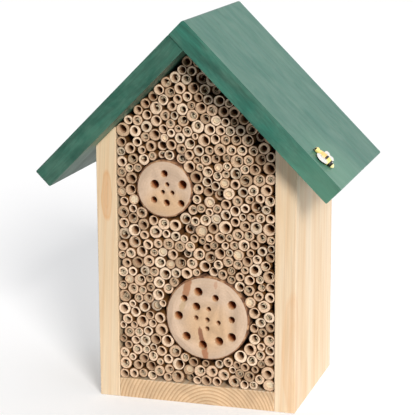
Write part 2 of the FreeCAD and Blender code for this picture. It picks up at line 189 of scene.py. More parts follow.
def planed_pine(name, pith, grain, spacing, early="dccab0", late="cfa67a", contrast=0.4, end="d3b691",
                wander=9 * MM, warmth=0.5, figures=()):
    """Planed Scots pine, bare: pale earlywood, warmer latewood lines, fine fibres, a dull satin.
    Each figure is a warm cathedral of nested lines: (middle, half sizes, strength)."""
    made, tree, shader, here = material(name, 0.58)
    place = log_place(tree, here, pith, grain)
    ring = rings(tree, place, spacing, wander)
    line = add(tree, "ShaderNodeValToRGB", {"Fac": ring},
               stops=((0.0, 0.0), (0.45, 0.12 * contrast), (0.85, 0.9 * contrast), (1.0, 0.55 * contrast)))
    colour = add(tree, "ShaderNodeMix", {SHARE: line, UNDER: linear(early), OVER: linear(late)}, **BLEND)
    # broad warm bands, about a centimetre wide and ten long
    band = mottle(tree, place, 13 * MM, 0.0, warmth, (1.0, 1.0, 0.12), (0.4, 0.66))
    colour = add(tree, "ShaderNodeMix", {SHARE: band, UNDER: colour, OVER: linear("f2dcb9")}, **MULTIPLY)
    for middle, half_sizes, strength in figures:
        moved = wandering(tree, here, 6 * MM, 7 * MM, 0.3)
        share = add(tree, "ShaderNodeValToRGB", {"Fac": patch(tree, moved, middle, half_sizes)},
                    stops=((0.0, 0.7 * strength), (0.35, 0.55 * strength), (0.45, 0.85 * strength),
                           (0.55, 0.6 * strength), (0.74, 0.7 * strength), (0.84, strength), (1.0, 0.0)))
        colour = add(tree, "ShaderNodeMix", {SHARE: share, UNDER: colour, OVER: linear("f3c28c")}, **MULTIPLY)
    # fibres are far finer than this in life; drawn 0.7 mm wide so that they show
    fibre = mottle(tree, place, 0.7 * MM, 0.9, 1.06, (1.0, 1.0, 0.012))
    colour = add(tree, "ShaderNodeMix", {SHARE: 1.0, UNDER: colour, OVER: fibre}, **MULTIPLY)
    ends = add(tree, "ShaderNodeMix", {SHARE: line, UNDER: linear(end), OVER: linear("a2764b")}, **BLEND)
    blotch = mottle(tree, place, 12 * MM, 0.83, 1.06, edges=(0.35, 0.6))
    ends = add(tree, "ShaderNodeMix", {SHARE: 1.0, UNDER: ends, OVER: blotch}, **MULTIPLY)
    # resin canals on the sawn ends, drawn at 0.5 mm
    pores = mottle(tree, place, 0.5 * MM, 0.86, 1.04)
    ends = add(tree, "ShaderNodeMix", {SHARE: 1.0, UNDER: ends, OVER: pores}, **MULTIPLY)
    colour = add(tree, "ShaderNodeMix", {SHARE: facing(tree, grain), UNDER: colour, OVER: ends}, **BLEND)
    surface(tree, shader, colour, fibre, 0.5 * MM)
    return made


def stained_pine(name, pith, grain, spacing, stain, line_stain, worn_at, worn_size):
    """Pine under a thin water-based green stain: the grain shows through as darker lines, most on
    the boards' edges, and the film gives a soft sheen at low angles."""
    made, tree, shader, here = material(name, 0.42, Specular_IOR_Level=0.55)
    place = log_place(tree, here, pith, grain)
    ring = rings(tree, place, spacing, 16 * MM)
    line = add(tree, "ShaderNodeValToRGB", {"Fac": ring},
               stops=((0.0, 0.0), (0.6, 0.04), (0.9, 0.45), (1.0, 0.1)))
    colour = add(tree, "ShaderNodeMix",
                 {SHARE: line, UNDER: linear(stain), OVER: linear(line_stain)}, **BLEND)
    # thin places a few centimetres long, where more of the wood shows
    moved = wandering(tree, place, 12 * MM, 24 * MM, 0.8)
    thin = mottle(tree, moved, 9 * MM, 0.0, 0.6, (1.0, 1.0, 0.55), (0.4, 0.76))
    colour = add(tree, "ShaderNodeMix", {SHARE: thin, UNDER: colour, OVER: linear("527868")}, **BLEND)
    # the boards' edges drink more stain: dark flowing streaks about 2 mm wide, and finer splinters
    bent = wandering(tree, place, 20 * MM, 14 * MM, 0.3)
    flow = mottle(tree, bent, 2.2 * MM, 0.76, 1.2, (1.0, 1.0, 0.05), (0.32, 0.62))
    splinter = mottle(tree, bent, 0.5 * MM, 0.8, 1.14, (1.0, 1.0, 0.09))
    flow = add(tree, "ShaderNodeMix", {SHARE: 1.0, UNDER: flow, OVER: splinter}, **MULTIPLY)
    darker = add(tree, "ShaderNodeMix", {SHARE: facing(tree, (0, 1, 0)), UNDER: WHITE, OVER: flow}, **BLEND)
    colour = add(tree, "ShaderNodeMix", {SHARE: 1.0, UNDER: colour, OVER: darker}, **MULTIPLY)
    # one end where handling has rubbed the stain thin
    wavering = wandering(tree, here, 9 * MM, 12 * MM)
    far = add(tree, "ShaderNodeVectorMath", {0: wavering, 1: worn_at}, output="Value", operation="DISTANCE")
    worn = add(tree, "ShaderNodeMapRange",
               {"Value": far, "From Min": worn_size, "From Max": 0.35 * worn_size, "To Max": 0.5},
               interpolation_type="SMOOTHSTEP")
    colour = add(tree, "ShaderNodeMix", {SHARE: worn, UNDER: colour, OVER: linear("5d8d76")}, **BLEND)
    fibre = mottle(tree, place, 0.8 * MM, 0.97, 1.03, (1.0, 1.0, 0.03))
    colour = add(tree, "ShaderNodeMix", {SHARE: 1.0, UNDER: colour, OVER: fibre}, **MULTIPLY)
    rough = mottle(tree, moved, 6 * MM, 0.38, 0.5, (1.0, 1.0, 0.3))
    tree.links.new(rough, shader.inputs["Roughness"])
    surface(tree, shader, colour, fibre, 0.5 * MM)
    return made


# ---------------------------------------------------------------- mesh helpers
class Mesh:
    """Points and faces gathered for one piece, with a material and a tone for each part of it."""

    def __init__(self):
        self.points = []
        self.faces = []
        self.finishes = []
        self.tones = []

    def ring(self, points, tone=0.5):
        """Add points and give back their numbers."""
        start = len(self.points)
        self.points += points
        self.tones += [tone] * len(points)
        return list(range(start, start + len(points)))

    def skin(self, first, second, finish):
        """Quads between two rings of the same length."""
        for i in range(len(first)):
            j = (i + 1) % len(first)
            self.faces.append((first[i], first[j], second[j], second[i]))
            self.finishes.append(finish)

    def cap(self, ring, finish, flip=False):
        self.faces.append(tuple(reversed(ring)) if flip else tuple(ring))
        self.finishes.append(finish)

    def piece(self, name, materials, smooth_angle=40.0):
        data = bpy.data.meshes.new(name)
        data.from_pydata([tuple(p) for p in self.points], [], self.faces)
        for made in materials:
            data.materials.append(made)
        data.polygons.foreach_set("material_index", self.finishes)
        tone = data.attributes.new("tone", "FLOAT", "POINT")
        tone.data.foreach_set("value", self.tones)
        data.shade_smooth()
        data.set_sharp_from_angle(angle=math.radians(smooth_angle))
        data.update()
        return place_piece(bpy.data.objects.new(name, data))


def place_piece(piece):
    """Link a piece to the scene and let it ride with the object."""
    bpy.context.scene.collection.objects.link(piece)
    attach(piece, ROOT)
    return piece


def merged(node):
    """A CAD node's mesh with its split points joined."""
    shape = bmesh.new()
    shape.from_mesh(nodes[node].data)
    bmesh.ops.remove_doubles(shape, verts=shape.verts, dist=1e-6)
    return shape


def islands(items, linked):
    """Groups of items that are linked to each other."""
    left = set(items)
    groups = []
    while left:
        group = [left.pop()]
        for item in group:
            for other in linked(item):
                if other in left:
                    left.remove(other)
                    group.append(other)
        groups.append(group)
    return groups


# ---------------------------------------------------------------- boards
DOWN_ROOF = Vector((SLOPE, 0, -SLOPE))
OFF_ROOF = Vector((SLOPE, 0, SLOPE))
EASED = 2 * MM                   # a roof board's eased edges lie within this of its faces
HAIRLINE = 0.4 * MM              # what shows of the joint at the ridge
TOUCHING = 0.01 * MM


def finish(node, made):
    """Give a node that keeps its own mesh its material."""
    nodes[node].data.materials.clear()
    nodes[node].data.materials.append(made)


def squared_board(made):
    """The left roof board, its upper end sawn square and butted tight under the right board.
    Only a hairline opens at the front of the joint."""
    shape = merged("roof_board_left")
    reach = max(v.co.dot(OFF_ROOF) for v in shape.verts)
    front = min(v.co.y for v in shape.verts)
    underside = min(v.co.dot(OFF_ROOF) for v in nodes["roof_board_right"].data.vertices)
    for v in shape.verts:
        along = v.co.dot(OFF_ROOF)
        if along > reach - EASED:
            if v.co.y < front + EASED:
                v.co.y = front
            if along > reach - TOUCHING:
                gap = HAIRLINE if v.co.y <= front else 0.0
                v.co += OFF_ROOF * (underside - reach - gap)
    data = bpy.data.meshes.new("roof_board_left_squared")
    shape.to_mesh(data)
    shape.free()
    data.materials.append(made)
    data.set_sharp_from_angle(angle=math.radians(12))
    piece = place_piece(bpy.data.objects.new("roof_board_left_squared", data))
    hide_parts("roof_board_left")


def boards():
    """The box's planed boards and the roof's stained ones, each sawn from its own place in a log."""
    finish("left_wall", planed_pine(
        "planed_pine_left", (-OUTER_X - 34 * MM, FRONT_Y + 6 * MM, 0), (0.05, 0.02, 1.0), 7.5 * MM,
        early="d6c5ab", late="caa277", contrast=0.3,
        figures=(((-OUTER_X + 9.5 * MM, FRONT_Y, 184 * MM), (5.5 * MM, 34 * MM, 24 * MM), 0.5),)))
    finish("right_wall", planed_pine(
        "planed_pine_right", (OUTER_X + 75 * MM, FRONT_Y + 45 * MM, 0), (0.012, 0.02, 1.0), 6.2 * MM,
        contrast=0.3, warmth=0.6,
        figures=(((OUTER_X - 1 * MM, FRONT_Y, 52 * MM), (11 * MM, 14 * MM, 62 * MM), 0.25),)))
    finish("base_board", planed_pine(
        "planed_pine_base", (13 * MM, 0, -16 * MM), (0.01, 1.0, 0.01), 3.1 * MM, contrast=0.75, end="d5b894",
        wander=7 * MM))
    finish("roof_board_right", stained_pine(
        "green_stained_pine_right", (88 * MM, -10 * MM, 286 * MM), (1, 0.1, -1), 9 * MM,
        "266455", "1b4a3c", (112 * MM, FRONT_Y, 190 * MM), 80 * MM))
    squared_board(stained_pine(
        "green_stained_pine_left", (-60 * MM, -20 * MM, 330 * MM), (-1, 0.06, -1), 6.5 * MM,
        "1d5445", "153f33", (-70 * MM, FRONT_Y, 238 * MM), 40 * MM))


# ---------------------------------------------------------------- reeds
SEGMENTS = 36
STOPPED = 5 * MM                 # a reed whose bore is shallower than this was sawn near a joint
SEED = 5


class Reed:
    """One reed as the CAD has it: its axis, radius, cut end and bore."""

    END = 0.5 * MM               # whatever lies further than this from both ends is the bore's bottom

    def __init__(self, places):
        xs = [p.x for p in places]
        zs = [p.z for p in places]
        ys = [p.y for p in places]
        self.x = (min(xs) + max(xs)) / 2
        self.z = (min(zs) + max(zs)) / 2
        self.radius = max(max(xs) - min(xs), max(zs) - min(zs)) / 2
        self.front = min(ys)
        inside = [p for p in places if self.front + self.END < p.y < max(ys) - self.END]
        self.depth = inside[0].y - self.front
        bxs = [p.x for p in inside]
        bzs = [p.z for p in inside]
        self.bore_x = (min(bxs) + max(bxs)) / 2
        self.bore_z = (min(bzs) + max(bzs)) / 2
        self.bore = (max(bxs) - min(bxs) + max(bzs) - min(bzs)) / 4


def reeds_of(node):
    shape = merged(node)
    groups = islands(list(shape.verts), lambda v: [e.other_vert(v) for e in v.link_edges])
    reeds = [Reed([v.co.copy() for v in group]) for group in groups]
    shape.free()
    return sorted(reeds, key=lambda reed: (round(reed.z, 5), reed.x))


def free_way(reed, angle, others, discs):
    """How far out a reed's skin could lie in one direction before it meets something."""
    least = 0.9 * reed.radius
    most = 1.4 * reed.radius
    parallel = 1e-6
    dx = math.cos(angle)
    dz = math.sin(angle)
    free = most
    for x, z, radius in [(o.x, o.z, o.radius) for o in others] + discs:
        ox = x - reed.x
        oz = z - reed.z
        along = ox * dx + oz * dz
        if along <= 0:
            continue
        off = ox * ox + oz * oz - along * along
        if off < radius * radius:
            free = min(free, along - math.sqrt(radius * radius - off))
    if abs(dx) > parallel:
        free = min(free, (math.copysign(INNER_X, dx) - reed.x) / dx)
    if dz < -parallel:
        free = min(free, (reed.z - BASE_TOP) / -dz)
    for side in (-1, 1):
        rise = side * dx * SLOPE + dz * SLOPE
        if rise > parallel:
            free = min(free, ((APEX_Z - reed.z) * SLOPE - side * reed.x * SLOPE) / rise)
    return max(free, least)


def reed_outline(reed, others, discs, chance):
    """The reed's outer radius round its axis: it bulges a little into the room beside it."""
    waves = [(k, chance.uniform(0.0, 0.035) / k, chance.uniform(0, TURN)) for k in (2, 3, 4)]
    nearby = 3.4 * reed.radius
    near = [o for o in others if o is not reed and math.hypot(o.x - reed.x, o.z - reed.z) < nearby]
    raw = []
    for i in range(SEGMENTS):
        angle = TURN * i / SEGMENTS
        free = free_way(reed, angle, near, discs)
        swell = min(0.4 * (free - reed.radius), 0.06 * reed.radius)
        uneven = sum(size * math.cos(k * angle + phase) for k, size, phase in waves)
        raw.append(reed.radius * (0.985 + uneven) + swell)
    weights = {-2: 1, -1: 2, 0: 3, 1: 2, 2: 1}
    total = sum(weights.values())
    return [sum(weight * raw[(i + step) % SEGMENTS] for step, weight in weights.items()) / total
            for i in range(SEGMENTS)]


def bore_outline(reed, outer, chance):
    """The bore's radius round its own axis at the mouth, never nearer the skin than a thin wall."""
    squash = chance.uniform(0.84, 1.0)
    turn = chance.uniform(0, math.pi)
    waves = [(k, chance.uniform(0.0, 0.06) / k, chance.uniform(0, TURN)) for k in (2, 3, 5)]
    size = max(reed.bore, reed.radius * chance.uniform(0.6, 0.76))
    wall = 0.13 * reed.radius
    off = math.hypot(reed.bore_x - reed.x, reed.bore_z - reed.z)
    way = math.atan2(reed.bore_z - reed.z, reed.bore_x - reed.x)
    radii = []
    for i in range(SEGMENTS):
        angle = TURN * i / SEGMENTS
        oval = squash / math.hypot(squash * math.cos(angle - turn), math.sin(angle - turn))
        uneven = sum(wave * math.cos(k * angle + phase) for k, wave, phase in waves)
        room = outer[i] - off * math.cos(angle - way) - wall
        radii.append(min(size * oval * (1 + uneven), room))
    return radii


def circle_points(x, z, radii, y=0.0):
    """Points round an axis along Y, each with its own radius."""
    count = len(radii)
    return [Vector((x + r * math.cos(TURN * i / count), y, z + r * math.sin(TURN * i / count)))
            for i, r in enumerate(radii)]


CUT, SKIN, BORE, LINING = range(4)     # a reed's materials


def add_reed(mesh, reed, others, discs, chance):
    """One reed: rounded saw-cut rim, off-centre bore, and often a torn lining in its mouth."""
    tone = chance.random()
    outer = reed_outline(reed, others, discs, chance)
    bore = bore_outline(reed, outer, chance)
    steepest = 0.07
    tilt_x = chance.uniform(-steepest, steepest)
    tilt_z = chance.uniform(-steepest, steepest)
    grit = chance.uniform(0, 100)
    set_back = 0.25 * MM             # so that the slant stays behind the CAD's cut
    roughness = 0.1 * MM

    def cut(points, sink):
        """Lay points on the slightly slanted, rough saw cut."""
        for p in points:
            rough = noise.noise(Vector((p.x / MM, p.z / MM, grit)) * 1.3) * roughness
            slant = (p.x - reed.x) * tilt_x + (p.z - reed.z) * tilt_z
            p.y = reed.front + slant + sink + rough + set_back
        return points

    def outer_ring(shrink, sink):
        return mesh.ring(cut(circle_points(reed.x, reed.z, [r - shrink for r in outer]), sink), tone)

    def bore_ring(grow, sink):
        return mesh.ring(cut(circle_points(reed.bore_x, reed.bore_z, [r + grow for r in bore]), sink), tone)

    back = mesh.ring(circle_points(reed.x, reed.z, outer, REED_BACK_Y), tone)
    middle = mesh.ring(circle_points(reed.x, reed.z, outer, reed.front + 6 * MM), tone)
    # the skin is rounded over the rim of the cut
    chain = [back, middle, outer_ring(0.0, 0.7 * MM), outer_ring(0.05 * MM, 0.22 * MM),
             outer_ring(0.3 * MM, 0.04 * MM)]
    for first, second in zip(chain, chain[1:]):
        mesh.skin(first, second, SKIN)
    halfway = []
    for i in range(SEGMENTS):
        angle = TURN * i / SEGMENTS
        out = Vector((reed.x + outer[i] * math.cos(angle), 0, reed.z + outer[i] * math.sin(angle)))
        into = Vector((reed.bore_x + bore[i] * math.cos(angle), 0, reed.bore_z + bore[i] * math.sin(angle)))
        halfway.append(out.lerp(into, 0.5))
    face = mesh.ring(cut(halfway, 0.0), tone)
    mesh.skin(chain[-1], face, CUT)
    lip = bore_ring(0.14 * MM, 0.02 * MM)
    mesh.skin(face, lip, CUT)
    throat = bore_ring(0.0, 0.25 * MM)
    mesh.skin(lip, throat, CUT)
    mesh.cap(back, SKIN, True)
    add_bore(mesh, reed, bore, throat, tone)
    if reed.depth >= STOPPED:
        dress_mouth(mesh, reed, sum(bore) / SEGMENTS, chance, tone)


def add_bore(mesh, reed, bore, throat, tone):
    """The bore from its throat to its end: worn wide at the mouth, and the CAD's radius further in."""
    narrow = reed.bore * SEGMENTS / sum(bore)

    def wall(depth, share):
        radii = [r * share for r in bore]
        return mesh.ring(circle_points(reed.bore_x, reed.bore_z, radii, reed.front + depth), tone)

    last = throat
    for depth, share in ((1.6 * MM, 0.1), (4.5 * MM, 0.5), (12 * MM, 1.0), (45 * MM, 1.0)):
        if depth < reed.depth:
            ring = wall(depth, 1 + (narrow - 1) * share)
            mesh.skin(last, ring, BORE)
            last = ring
    stopped = reed.depth < STOPPED
    end = wall(reed.depth, 0.9 if stopped else 0.95 * narrow)
    mesh.skin(last, end, BORE)
    mesh.cap(end, LINING if stopped else BORE, True)


def add_curl(mesh, reed, bore, chance, tone):
    """A ribbon of papery lining that has come off the wall and rolled inwards."""
    start = chance.uniform(0, TURN)
    sweep = chance.uniform(1.6, 4.4)
    tip = chance.uniform(0.12, 0.7)
    thick = chance.uniform(0.1, 0.2) * MM
    front = reed.front + chance.uniform(0.3, 1.6) * MM
    back = front + chance.uniform(2.5, 7.0) * MM
    lean = chance.uniform(-1.2, 1.2) * MM
    root = 0.95
    steps = 14
    last = None
    for step in range(steps + 1):
        share = step / steps
        angle = start + sweep * share
        radius = bore * (root + (tip - root) * share ** 1.4)
        torn = noise.noise(Vector((angle * 2.0, radius / MM, tone * 50))) * 0.5 * MM + lean * share
        ray = Vector((math.cos(angle), 0, math.sin(angle)))
        middle = Vector((reed.bore_x, 0, reed.bore_z))
        inner = middle + ray * (radius - thick)
        outer = middle + ray * (radius + thick)
        corners = ((inner, front + torn), (outer, front + torn), (outer, back), (inner, back))
        ring = mesh.ring([Vector((p.x, y, p.z)) for p, y in corners], tone)
        if last:
            mesh.skin(last, ring, LINING)
        else:
            mesh.cap(ring, LINING)
        last = ring
    mesh.cap(last, LINING, True)


def add_plug(mesh, reed, bore, chance, tone):
    """A torn diaphragm near the mouth, as at a joint of the reed."""
    depth = reed.front + chance.uniform(0.6, 2.2) * MM
    lumps = 0.9 * MM
    chain = []
    for share in (0.99, 0.66, 0.33):
        points = []
        for i in range(SEGMENTS):
            angle = TURN * i / SEGMENTS
            radius = bore * share
            lump = noise.noise(Vector((math.cos(angle) * share * 3, math.sin(angle) * share * 3, tone * 70)))
            points.append(Vector((reed.bore_x + radius * math.cos(angle), depth + lump * lumps,
                                  reed.bore_z + radius * math.sin(angle))))
        chain.append(mesh.ring(points, tone))
    for first, second in zip(chain, chain[1:]):
        mesh.skin(first, second, LINING)
    mesh.cap(chain[-1], LINING, True)


def dress_mouth(mesh, reed, bore, chance, tone):
    """What is left in a reed's mouth: nothing, a plug, or one to three curls."""
    plugged = 0.02
    curled = 0.58
    kind = chance.random()
    if kind < plugged:
        add_plug(mesh, reed, bore, chance, tone)
    elif kind < plugged + curled:
        for curl in range(chance.choice((1, 1, 2, 2, 3))):
            add_curl(mesh, reed, bore * (1 - 0.18 * curl), chance, tone)


def reed_surface(name, roughness, stops, relief, inner=None, **marks):
    """One surface of the reeds: a colour for each reed's tone, broken up by fine marks.
    An inner colour, painted shade, takes over a few millimetres into the bore."""
    made, tree, shader, place = material(name, roughness)
    tone = add(tree, "ShaderNodeAttribute", output="Fac", attribute_name="tone")
    colour = add(tree, "ShaderNodeValToRGB", {"Fac": tone}, stops=stops)
    if inner:
        # painted shade: the wall's colour turns dark brown from 3.5 to 9 mm into the bore
        depth = add(tree, "ShaderNodeSeparateXYZ", {0: place}, output=Y)
        painted_depth_shade = add(tree, "ShaderNodeMapRange",
                   {"Value": depth, "From Min": FRONT_Y + 3.5 * MM, "From Max": FRONT_Y + 9 * MM})
        colour = add(tree, "ShaderNodeMix", {SHARE: painted_depth_shade, UNDER: colour, OVER: linear(inner)}, **BLEND)
    drawn = mottle(tree, place, **marks)
    colour = add(tree, "ShaderNodeMix", {SHARE: 1.0, UNDER: colour, OVER: drawn}, **MULTIPLY)
    surface(tree, shader, colour, drawn, relief)
    return made


def reed_materials():
    """Common reed, sawn with a fine blade: pale woody rim, brown skin, tan bore, papery lining."""
    return [
        # vessels show as dark specks on the cut, drawn at 0.5 mm
        reed_surface("reed_sawn_end", 0.75,
                     ((0.0, "a5896b"), (0.2, "c3a486"), (0.5, "d8b99c"), (0.85, "ebd2b7"), (1.0, "baa891")),
                     0.3 * MM, width=0.5 * MM, low=0.62, high=1.06, edges=(0.32, 0.6)),
        # fine ribs run along the skin
        reed_surface("reed_skin", 0.5, ((0.0, "553518"), (0.5, "7d552b"), (1.0, "614024")),
                     0.2 * MM, width=0.55 * MM, low=0.8, high=1.1, stretch=(1.0, 0.04, 1.0)),
        # the bore's wall is pale at its mouth; from 3.5 to 9 mm in, painted shade turns it dark brown
        reed_surface("reed_bore_wall", 0.8,
                     ((0.0, "b8977a"), (0.3, "d6bb9d"), (0.7, "e2c9ad"), (0.9, "d2b697"), (1.0, "a98b6d")),
                     0.25 * MM, "875a33", width=0.42 * MM, low=0.78, high=1.14, stretch=(1.0, 0.1, 1.0)),
        reed_surface("reed_papery_lining", 0.85, ((0.0, "c8b193"), (0.5, "e6d6ba"), (1.0, "d2c1a4")),
                     0.4 * MM, width=0.33 * MM, low=0.7, high=1.1),
    ]


def disc_of(node):
    """Centre and radius of a log or its bark, seen from the front."""
    low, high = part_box(node)
    return ((low.x + high.x) / 2, (low.z + high.z) / 2, (high.x - low.x) / 2)


def reeds():
    materials = reed_materials()
    rows = {name: reeds_of(name) for name in REED_ROWS}
    every = [reed for row in rows.values() for reed in row]
    discs = [disc_of("small_log_bark"), disc_of("large_log_bark")]
    chance = random.Random(SEED)
    for name, row in rows.items():
        mesh = Mesh()
        for reed in row:
            add_reed(mesh, reed, every, discs, chance)
        piece = mesh.piece(name.replace("reeds_row", "reeds_dressed"), materials)
        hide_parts(name)


# ---------------------------------------------------------------- logs
def log_face(name, pith, streaks, warm_at, warm_size):
    """Sawn birch: creamy, faint growth rings, a warmer heart, and brown streaks of stain.
    A streak is (middle, half length, half width, angle, strength, colour)."""
    made, tree, shader, place = material(name, 0.62)
    ring = rings(tree, log_place(tree, place, (pith[0], 0, pith[1]), (0, 1, 0)), 2.6 * MM, 3 * MM)
    line = add(tree, "ShaderNodeValToRGB", {"Fac": ring}, stops=((0.0, 0.0), (0.7, 0.02), (1.0, 0.2)))
    colour = add(tree, "ShaderNodeMix",
                 {SHARE: line, UNDER: linear("c4ab94"), OVER: linear("b28f69")}, **BLEND)
    cloud = mottle(tree, place, 9 * MM, 0.93, 1.05, edges=(0.35, 0.65))
    colour = add(tree, "ShaderNodeMix", {SHARE: 1.0, UNDER: colour, OVER: cloud}, **MULTIPLY)
    moved = wandering(tree, place, 7 * MM, 9 * MM)
    far = patch(tree, moved, (warm_at[0], 0, warm_at[1]), (warm_size[0], 1.0, warm_size[1]))
    warm = add(tree, "ShaderNodeMapRange",
               {"Value": far, "From Min": 1.2, "From Max": 0.45, "To Min": 0.0, "To Max": 0.5},
               interpolation_type="SMOOTHSTEP")
    colour = add(tree, "ShaderNodeMix", {SHARE: warm, UNDER: colour, OVER: linear("c79f6f")}, **BLEND)
    moved = wandering(tree, place, 1.9 * MM, 3 * MM)
    for middle, half_length, half_width, angle, strength, tint in streaks:
        far = patch(tree, moved, (middle[0], 0, middle[1]), (half_length, 1.0, half_width), angle)
        share = add(tree, "ShaderNodeMapRange",
                    {"Value": far, "From Min": 1.15, "From Max": 0.75, "To Min": 0.0, "To Max": strength},
                    interpolation_type="SMOOTHSTEP")
        colour = add(tree, "ShaderNodeMix", {SHARE: share, UNDER: colour, OVER: linear(tint)}, **BLEND)
    # vessels, drawn at 0.4 mm
    pore = mottle(tree, place, 0.4 * MM, 0.87, 1.02, edges=(0.3, 0.6))
    colour = add(tree, "ShaderNodeMix", {SHARE: 1.0, UNDER: colour, OVER: pore}, **MULTIPLY)
    surface(tree, shader, colour, pore, 0.3 * MM)
    return made


def hole_wall():
    """The inside of a drilled hole: pale torn fibres at the mouth, and brown painted shade further in."""
    made, tree, shader, place = material("drilled_birch", 0.85)
    fibre = mottle(tree, place, 0.36 * MM, 0.0, 1.0, (1.0, 0.15, 1.0))
    colour = add(tree, "ShaderNodeValToRGB", {"Fac": fibre},
                 stops=((0.0, "b7916a"), (0.6, "d6bb98"), (1.0, "e2ceb0")))
    # painted shade: the wall turns brown from 0.5 to 7 mm into the hole
    painted_depth_shade = add(tree, "ShaderNodeSeparateXYZ", {0: place}, output=Y)
    painted_depth_shade = add(tree, "ShaderNodeMapRange",
               {"Value": painted_depth_shade, "From Min": LOG_FRONT_Y + 0.5 * MM, "From Max": LOG_FRONT_Y + 7 * MM})
    colour = add(tree, "ShaderNodeMix", {SHARE: painted_depth_shade, UNDER: colour, OVER: linear("a8683a")}, **BLEND)
    surface(tree, shader, colour, fibre, 0.2 * MM)
    return made


def dressed_log(node, face, wall):
    """The log with its drilled edges broken a little, and torn mouths."""
    sharp = 0.8                  # radians between the faces at a drilled edge
    broken = 0.35 * MM
    torn = 0.12 * MM
    flat = 0.9                   # a face that looks this squarely forward is not a hole's wall
    shape = merged(node)
    low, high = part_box(node)
    x, z, radius = disc_of(node)
    bmesh.ops.dissolve_limit(shape, angle_limit=math.radians(1), verts=shape.verts, edges=shape.edges)
    rims = [e for e in shape.edges
            if e.is_manifold and e.calc_face_angle() > sharp
            and all(v.co.y < low.y + TOUCHING for v in e.verts)]
    bmesh.ops.bevel(shape, geom=rims, offset=broken, segments=2, profile=0.5, affect="EDGES")
    shape.normal_update()
    chance = random.Random(len(node))
    for part in shape.faces:
        at = part.calc_center_median()
        inside = math.hypot(at.x - x, at.z - z) < radius - 0.6 * MM
        part.material_index = 1 if inside and abs(part.normal.y) < flat else 0
        part.smooth = True
    for v in shape.verts:
        if low.y + 0.05 * MM < v.co.y < low.y + 0.5 * MM:
            v.co.y += chance.uniform(0.0, torn)
    data = bpy.data.meshes.new(node + "_dressed")
    shape.to_mesh(data)
    shape.free()
    data.materials.append(face)
    data.materials.append(wall)
    data.set_sharp_from_angle(angle=math.radians(35))
    piece = place_piece(bpy.data.objects.new(node + "_dressed", data))
    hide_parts(node)


def bark_material():
    """Thin reddish-brown bark over a paler inner layer."""
    made, tree, shader, place = material("thin_bark", 0.85)
    lump = mottle(tree, place, 2.3 * MM, 0.0, 1.0)
    colour = add(tree, "ShaderNodeValToRGB", {"Fac": lump},
                 stops=((0.0, "452a1b"), (0.4, "7a5238"), (0.7, "9f7654"), (1.0, "bd9c79")))
    surface(tree, shader, colour, lump, 0.5 * MM)
    return made


def bark_ring(node, made, thick_end):
    """A lumpy ring of bark, torn along its front edge and thicker on one side."""
    x, z, outer = disc_of(node)
    low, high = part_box(node)
    thick = 1.7 * MM
    inner = outer - thick + 0.02 * MM
    around = 150
    lengthwise = 5
    mesh = Mesh()

    def ring(depth, share, torn, seed):
        """Points at a share of the bark's thickness, torn back raggedly from a depth."""
        points = []
        for i in range(around):
            angle = TURN * i / around
            ray = (math.cos(angle), math.sin(angle))
            lump = noise.noise(Vector((ray[0] * 9, ray[1] * 9, seed + depth * 60)))
            side = 0.5 + 0.5 * math.cos(angle - thick_end)
            width = thick * (0.62 + 0.38 * side) * (0.86 + 0.14 * lump)
            radius = inner + width * share
            rag = torn * (0.5 + 0.5 * noise.noise(Vector((ray[0] * 22, ray[1] * 22, seed))))
            points.append(Vector((x + radius * ray[0], depth + rag, z + radius * ray[1])))
        return mesh.ring(points)

    chain = [ring(high.y, 0.0, 0.0, 3.0), ring(high.y, 1.0, 0.0, 3.0)]
    run = low.y + 6 * MM - high.y
    for step in range(1, lengthwise + 1):
        chain.append(ring(high.y + run * step / lengthwise, 1.0, 0.0, 3.0))
    # the torn edge, from the outside in: behind the front, share of the thickness, tear, seed
    for behind, share, torn, seed in ((0.9, 1.0, 1.2, 3.0), (0.25, 0.82, 1.1, 4.0), (0.15, 0.55, 0.8, 5.0),
                                      (0.1, 0.28, 0.5, 6.0), (0.05, 0.0, 0.1, 7.0), (4.0, 0.0, 0.0, 3.0)):
        chain.append(ring(low.y + behind * MM, share, torn * MM, seed))
    for first, second in zip(chain, chain[1:]):
        mesh.skin(first, second, 0)
    mesh.skin(chain[-1], chain[0], 0)
    piece = mesh.piece(node + "_torn", [made])
    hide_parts(node)


def logs():
    wall = hole_wall()
    small = disc_of("small_log_bark")
    large = disc_of("large_log_bark")

    def at(disc, right, up):
        return (disc[0] + right * MM, disc[1] + up * MM)

    small_face = log_face("sawn_birch_small", at(small, 3, -4), [], at(small, 1, -13), (22 * MM, 15 * MM))
    streaks = [
        (at(large, -18.2, 26.0), 11.5 * MM, 3.5 * MM, 76.0, 0.9, "a06d49"),
        (at(large, -22.3, 10.0), 7.5 * MM, 2.6 * MM, 72.0, 0.45, "a88c5e"),
        (at(large, -5.2, -16.5), 9.0 * MM, 2.2 * MM, -77.0, 0.95, "85573c"),
        (at(large, -2.2, -30.0), 9.5 * MM, 3.2 * MM, -80.0, 0.9, "a26a48"),
        (at(large, 8.0, 31.0), 3.8 * MM, 1.7 * MM, 88.0, 0.6, "b4866a"),
    ]
    large_face = log_face("sawn_birch_large", at(large, 2, 3), streaks, at(large, 2, -8), (26 * MM, 24 * MM))
    dressed_log("small_log", small_face, wall)
    dressed_log("large_log", large_face, wall)
    made = bark_material()
    bark_ring("small_log_bark", made, math.radians(200))
    bark_ring("large_log_bark", made, math.radians(70))


# ---------------------------------------------------------------- bee
def bee_foot():
    """The point of the roof's upper face under the middle of the bee."""
    low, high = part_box("bee_body")
    board = nodes["roof_board_right"].data.vertices
    surface = max(v.co.dot(OFF_ROOF) for v in board)
    along = (low + high).dot(DOWN_ROOF) / 2
    foot = DOWN_ROOF * along + OFF_ROOF * surface
    return Vector((foot.x, (low.y + high.y) / 2, foot.z))


BEE_FOOT = bee_foot()


def on_roof(point):
    """A point of the bee's own frame: X down the slope, Y to the back, Z out of the roof."""
    return BEE_FOOT + DOWN_ROOF * point[0] + Vector((0, point[1], 0)) + OFF_ROOF * point[2]


